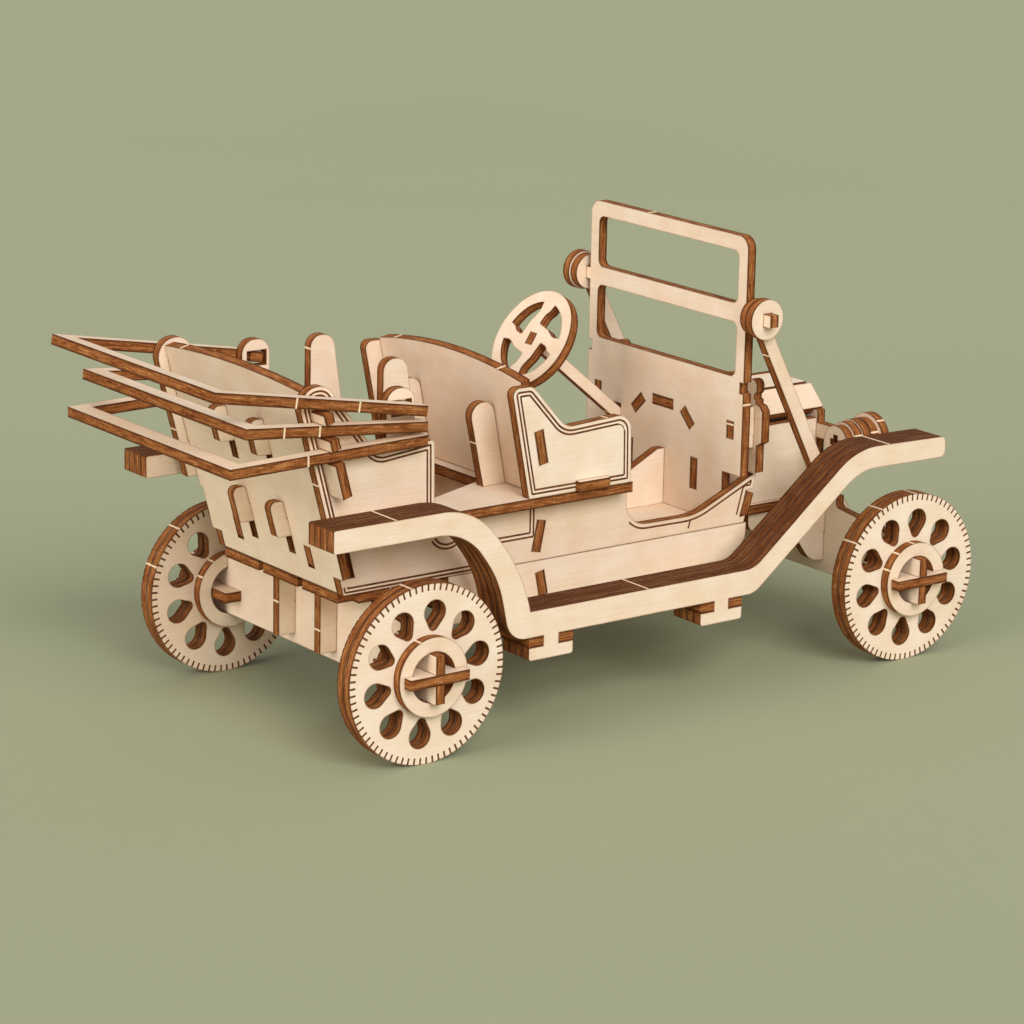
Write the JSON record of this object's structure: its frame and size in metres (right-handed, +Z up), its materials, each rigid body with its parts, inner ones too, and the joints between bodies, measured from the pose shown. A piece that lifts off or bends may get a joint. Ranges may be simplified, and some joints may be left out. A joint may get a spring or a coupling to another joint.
{
  "type": "wooden 3d jigsaw car",
  "caption": "Slot-together plywood model of an open vintage touring car, with freely turning wheels and a roof folded back.",
  "frame": {"origin": "on the ground, below the middle of the car's length and width", "axes": "+X towards the front of the car, +Y to the car's left, +Z up"},
  "size_m": [0.175, 0.0798, 0.0872],
  "materials": {
    "basswood_ply": "sanded, laser-cut edges"
  },
  "bodies": {
    "chassis": {"floor_plate": "basswood_ply", "left_rail": "basswood_ply", "right_rail": "basswood_ply", "rail_spacer": "basswood_ply", "rear_axle_wall": "basswood_ply", "front_axle_wall": "basswood_ply", "rear_hangers": "basswood_ply", "front_hangers": "basswood_ply", "rear_carrier": "basswood_ply", "front_carrier": "basswood_ply", "left_body_side": "basswood_ply", "right_body_side": "basswood_ply", "deck_plate": "basswood_ply", "seat_riser": "basswood_ply", "rear_panel": "basswood_ply", "left_quarter_panel": "basswood_ply", "right_quarter_panel": "basswood_ply", "left_seat_rib": "basswood_ply", "right_seat_rib": "basswood_ply", "left_tonneau_post": "basswood_ply", "right_tonneau_post": "basswood_ply", "rear_cushion": "basswood_ply", "left_seat_side": "basswood_ply", "right_seat_side": "basswood_ply", "front_seat_back": "basswood_ply", "front_cushion": "basswood_ply", "left_back_brace": "basswood_ply", "right_back_brace": "basswood_ply", "windshield": "basswood_ply", "console": "basswood_ply", "toe_board": "basswood_ply", "left_hood_side": "basswood_ply", "right_hood_side": "basswood_ply", "hood_top": "basswood_ply", "left_hood_shoulder": "basswood_ply", "right_hood_shoulder": "basswood_ply", "radiator": "basswood_ply", "left_cowl_lamp": "basswood_ply", "right_cowl_lamp": "basswood_ply", "left_headlamp": "basswood_ply", "right_headlamp": "basswood_ply", "left_strut": "basswood_ply", "right_strut": "basswood_ply", "left_strut_washer": "basswood_ply", "right_strut_washer": "basswood_ply", "left_fender": "basswood_ply", "right_fender": "basswood_ply", "steering_wheel": "basswood_ply", "steering_column": "basswood_ply", "upper_roof_bow": "basswood_ply", "middle_roof_bow": "basswood_ply", "lower_roof_bow": "basswood_ply", "left_roof_stay": "basswood_ply", "right_roof_stay": "basswood_ply", "wheel_keys": "basswood_ply"},
    "rear_left_wheel_body": {"rear_left_wheel": "basswood_ply"},
    "rear_right_wheel_body": {"rear_right_wheel": "basswood_ply"},
    "front_left_wheel_body": {"front_left_wheel": "basswood_ply"},
    "front_right_wheel_body": {"front_right_wheel": "basswood_ply"}
  },
  "joints": [
    {"name": "rear_left_wheel_spin", "type": "hinge", "parent": "chassis", "child": "rear_left_wheel_body", "pos_m": [-0.047, 0.0358, 0.017], "axis": [0, 1, 0], "continuous": true},
    {"name": "rear_right_wheel_spin", "type": "hinge", "parent": "chassis", "child": "rear_right_wheel_body", "pos_m": [-0.047, -0.0358, 0.017], "axis": [0, 1, 0], "continuous": true},
    {"name": "front_left_wheel_spin", "type": "hinge", "parent": "chassis", "child": "front_left_wheel_body", "pos_m": [0.0705, 0.0358, 0.017], "axis": [0, 1, 0], "continuous": true},
    {"name": "front_right_wheel_spin", "type": "hinge", "parent": "chassis", "child": "front_right_wheel_body", "pos_m": [0.0705, -0.0358, 0.017], "axis": [0, 1, 0], "continuous": true}
  ]
}
